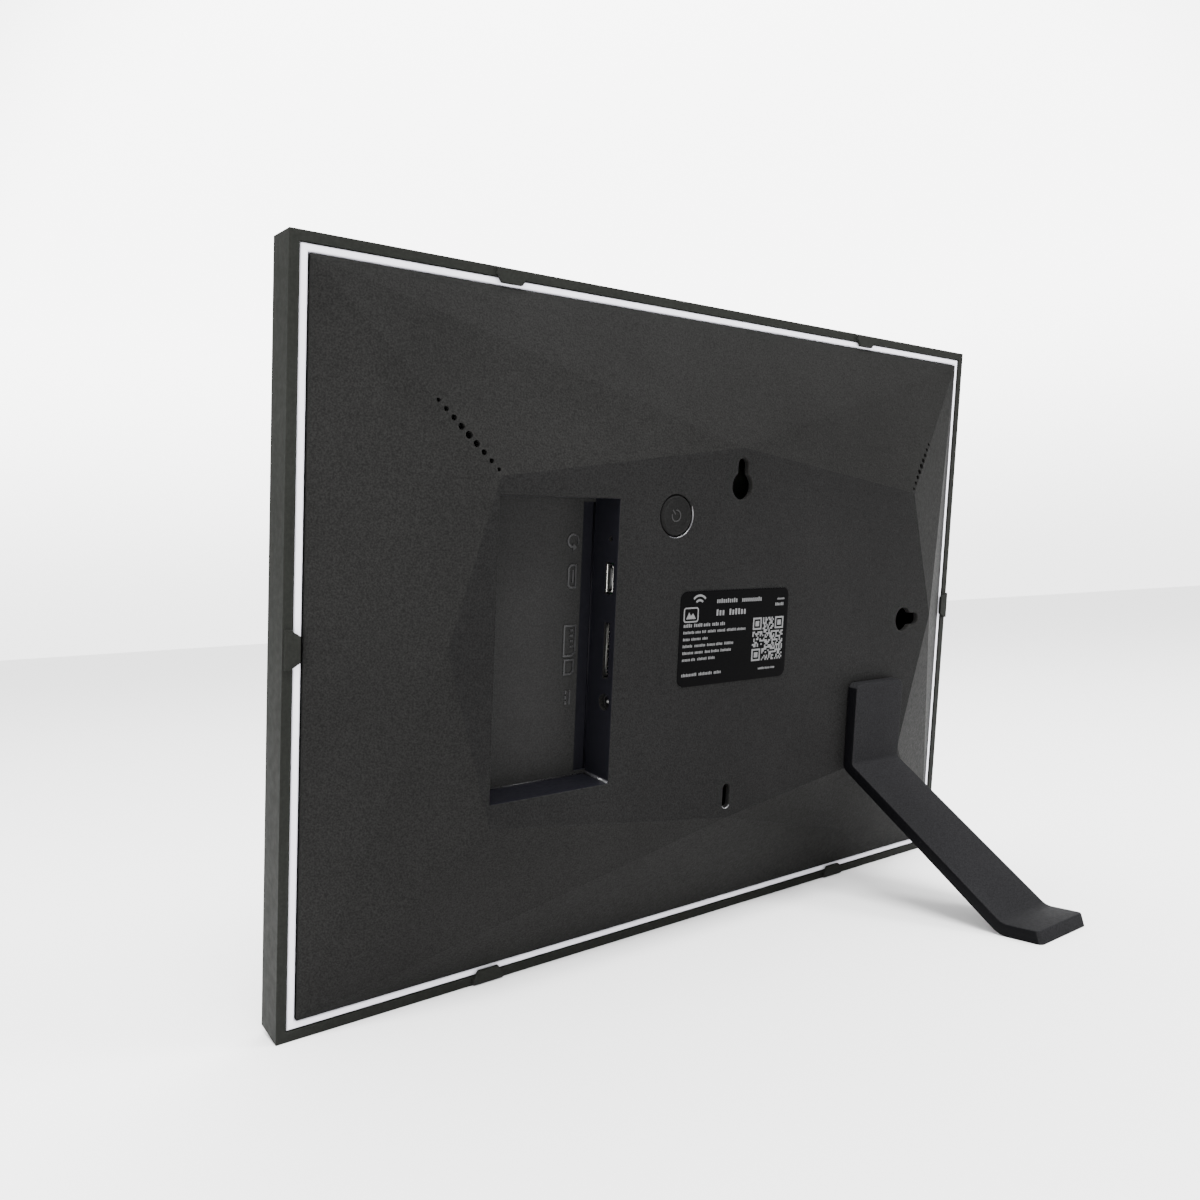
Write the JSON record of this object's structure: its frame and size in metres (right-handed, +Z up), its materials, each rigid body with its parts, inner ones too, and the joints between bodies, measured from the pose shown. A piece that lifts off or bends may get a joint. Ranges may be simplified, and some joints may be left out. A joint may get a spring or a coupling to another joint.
{
  "type": "digital photo frame",
  "caption": "Ten-inch digital photo frame with a faceted black rear cover, side-entry port bay, keyhole hangers, power button and a bent strip stand.",
  "frame": {"origin": "on the table, under the middle of the object's bounding box", "axes": "+Z up; the display faces -Y and leans back about 10 degrees; +X is to the right seen from the front"},
  "size_m": [0.265, 0.0998, 0.1939],
  "materials": {
    "frame_plastic": "satin moulded, dark grey",
    "glass": "clear, polished",
    "mat_white": "plain card",
    "foam": "closed cell",
    "white_plastic": "semi-gloss moulded",
    "display": "dark panel",
    "clear_plastic": "clear",
    "board_white": "white solder mask",
    "steel": "zinc plated sheet",
    "cover_plastic": "fine spark-eroded grain, black",
    "screw_steel": "zinc plated",
    "button_plastic": "fine grain",
    "switch_plastic": "moulded",
    "plunger_plastic": "moulded",
    "board_green": "solder mask",
    "port_metal": "nickel plated",
    "jack_plastic": "moulded",
    "flex_film": "film",
    "lead_red": "sleeved wire",
    "lead_black": "sleeved wire",
    "label_film": "printed film",
    "stand_plastic": "satin black"
  },
  "bodies": {
    "frame": {"outer_frame": "frame_plastic", "front_glass": "glass", "mat_board": "mat_white", "foam_tape": "foam", "inner_frame": "white_plastic", "lcd_cell": "display", "light_guide": "clear_plastic", "led_bar": "board_white", "backlight_tray": "steel", "panel_brackets": "steel", "rear_cover": "cover_plastic", "cover_screws": "screw_steel", "power_switch": "switch_plastic", "main_board": "board_green", "board_screws": "screw_steel", "usb_port": "port_metal", "card_slot": "port_metal", "dc_jack": "jack_plastic", "reset_switch": "switch_plastic", "processor_shield": "port_metal", "wifi_module": "port_metal", "memory_chip": "jack_plastic", "lcd_connector": "plunger_plastic", "lcd_flex": "flex_film", "speaker_left": "switch_plastic", "speaker_right": "switch_plastic", "speaker_pads": "foam", "speaker_leads": "lead_red", "wifi_antenna": "flex_film", "antenna_lead": "lead_black", "rating_label": "label_film"},
    "power_button": {"power_button": "button_plastic"},
    "power_plunger": {"power_plunger": "plunger_plastic"},
    "reset_plunger": {"reset_plunger": "plunger_plastic"},
    "stand": {"stand": "stand_plastic"}
  },
  "joints": [
    {"name": "power_button_press", "type": "slide", "parent": "frame", "child": "power_button", "axis": [0, -0.9842, 0.1771], "range_m": [0, 0.0003], "stiffness_N_per_m": 1000, "springref_m": -0.001},
    {"name": "power_plunger_press", "type": "slide", "parent": "frame", "child": "power_plunger", "axis": [0, -0.9842, 0.1771], "range_m": [0, 0.0003]},
    {"name": "reset_press", "type": "slide", "parent": "frame", "child": "reset_plunger", "axis": [-1, 0, 0], "range_m": [0, 0.00025], "stiffness_N_per_m": 1000, "springref_m": -0.001},
    {"name": "stand_pull", "type": "slide", "parent": "frame", "child": "stand", "axis": [0, 0.9842, -0.1771], "range_m": [0, 0.03]}
  ],
  "couplings": [
    {"joint": "power_plunger_press", "follows": "power_button_press", "ratio": 1}
  ]
}
